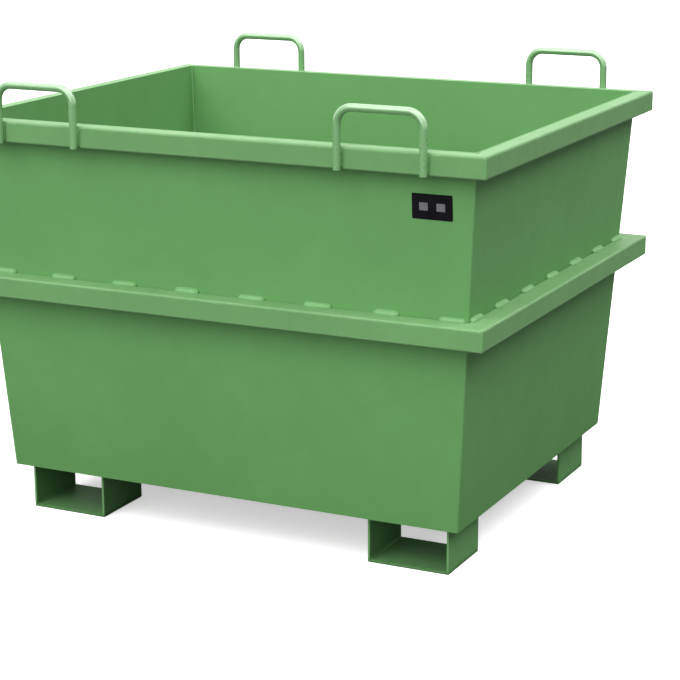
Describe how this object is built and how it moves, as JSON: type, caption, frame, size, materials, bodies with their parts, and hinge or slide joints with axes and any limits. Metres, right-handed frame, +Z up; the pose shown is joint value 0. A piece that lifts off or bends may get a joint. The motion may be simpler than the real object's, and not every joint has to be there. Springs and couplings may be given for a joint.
{
  "type": "storage container",
  "caption": "Open steel container with walls leaning out to a tubular rim, a tubular belt round the tub, fork-pocket feet and welded lifting loops.",
  "frame": {"origin": "on the ground, below the middle of the container", "axes": "+Z up, +X along the longer sides, the front with the name plate faces -Y"},
  "size_m": [1.5, 1.2704, 1.181],
  "materials": {
    "tub_paint": "semi-gloss green stove enamel over rolled sheet",
    "tube_paint": "semi-gloss green stove enamel over drawn tube",
    "bar_paint": "semi-gloss green stove enamel over bent round bar",
    "foot_paint": "semi-gloss green stove enamel over flat bar, scuffed at the edges",
    "weld_paint": "semi-gloss green stove enamel over weld beads",
    "plate_black": "black, satin, bare"
  },
  "bodies": {
    "root": {"floor_plate": "tub_paint", "name_plate": "plate_black", "belt_stitch_welds": "weld_paint", "rim_welds": "weld_paint", "loop_welds": "weld_paint", "foot_welds": "weld_paint", "front_wall": "tub_paint", "rim_front": "tube_paint", "belt_front": "tube_paint", "right_wall": "tub_paint", "rim_right": "tube_paint", "belt_right": "tube_paint", "rear_wall": "tub_paint", "rim_rear": "tube_paint", "belt_rear": "tube_paint", "left_wall": "tub_paint", "rim_left": "tube_paint", "belt_left": "tube_paint", "foot_front_left_base": "foot_paint", "foot_front_left_outer_leg": "foot_paint", "foot_front_left_inner_leg": "foot_paint", "loop_front_left": "bar_paint", "foot_front_right_base": "foot_paint", "foot_front_right_outer_leg": "foot_paint", "foot_front_right_inner_leg": "foot_paint", "loop_front_right": "bar_paint", "foot_rear_left_base": "foot_paint", "foot_rear_left_outer_leg": "foot_paint", "foot_rear_left_inner_leg": "foot_paint", "loop_rear_left": "bar_paint", "foot_rear_right_base": "foot_paint", "foot_rear_right_outer_leg": "foot_paint", "foot_rear_right_inner_leg": "foot_paint", "loop_rear_right": "bar_paint"}
  },
  "joints": []
}
